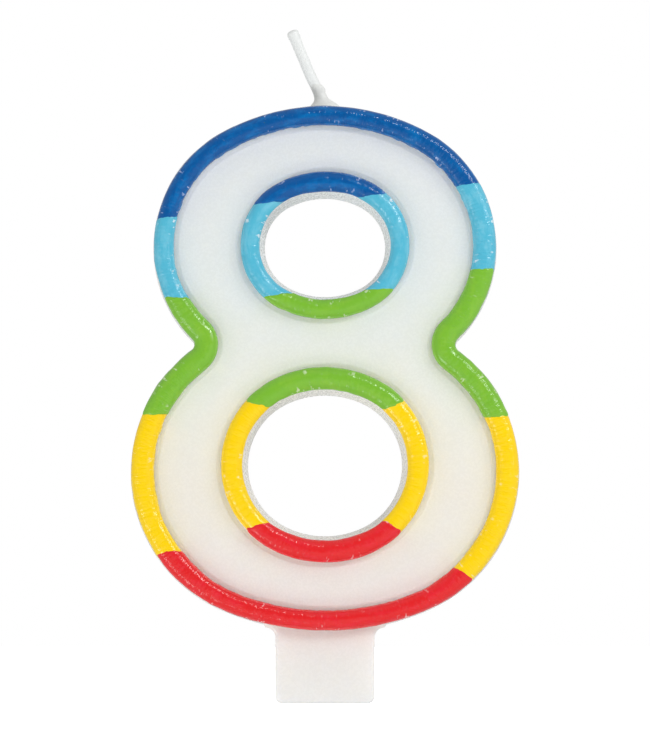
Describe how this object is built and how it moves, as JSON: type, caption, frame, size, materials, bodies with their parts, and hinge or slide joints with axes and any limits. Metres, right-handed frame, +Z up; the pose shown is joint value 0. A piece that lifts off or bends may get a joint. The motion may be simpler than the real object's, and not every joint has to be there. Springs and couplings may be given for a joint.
{
  "type": "number birthday candle",
  "caption": "Moulded wax cake candle shaped as the figure 8, with a raised bead in coloured bands round its edge and both counters, a foot for the cake and a waxed wick.",
  "frame": {"origin": "middle of the overall box at the bottom of the foot", "axes": "+Z up the figure to the wick, +X to the right seen from the front, front face towards -Y, flat back towards +Y"},
  "size_m": [0.05, 0.009, 0.0855],
  "materials": {
    "white_wax": "white paraffin wax, slightly translucent, satin",
    "cotton_wick": "braided cotton, waxed",
    "wick_wax": "thin white wax over the braid, satin",
    "blue_wax": "dark blue wax coat, glossy, brushed on",
    "aqua_wax": "light blue wax coat, glossy, brushed on",
    "green_wax": "green wax coat, glossy, brushed on",
    "yellow_wax": "yellow wax coat, glossy, brushed on",
    "red_wax": "red wax coat, glossy, brushed on"
  },
  "bodies": {
    "root": {"wax_body": "white_wax", "wick_core": "cotton_wick", "wick_wax_coat": "wick_wax", "wick_seal": "wick_wax", "outer_blue_top": "blue_wax", "outer_aqua_left": "aqua_wax", "outer_aqua_right": "aqua_wax", "outer_green_left": "green_wax", "outer_green_right": "green_wax", "outer_yellow_left": "yellow_wax", "outer_yellow_right": "yellow_wax", "outer_red_bottom": "red_wax", "upper_ring_blue_top": "blue_wax", "upper_ring_aqua_left": "aqua_wax", "upper_ring_aqua_right": "aqua_wax", "upper_ring_green_bottom": "green_wax", "lower_ring_green_top": "green_wax", "lower_ring_yellow_left": "yellow_wax", "lower_ring_yellow_right": "yellow_wax", "lower_ring_red_bottom": "red_wax"}
  },
  "joints": []
}
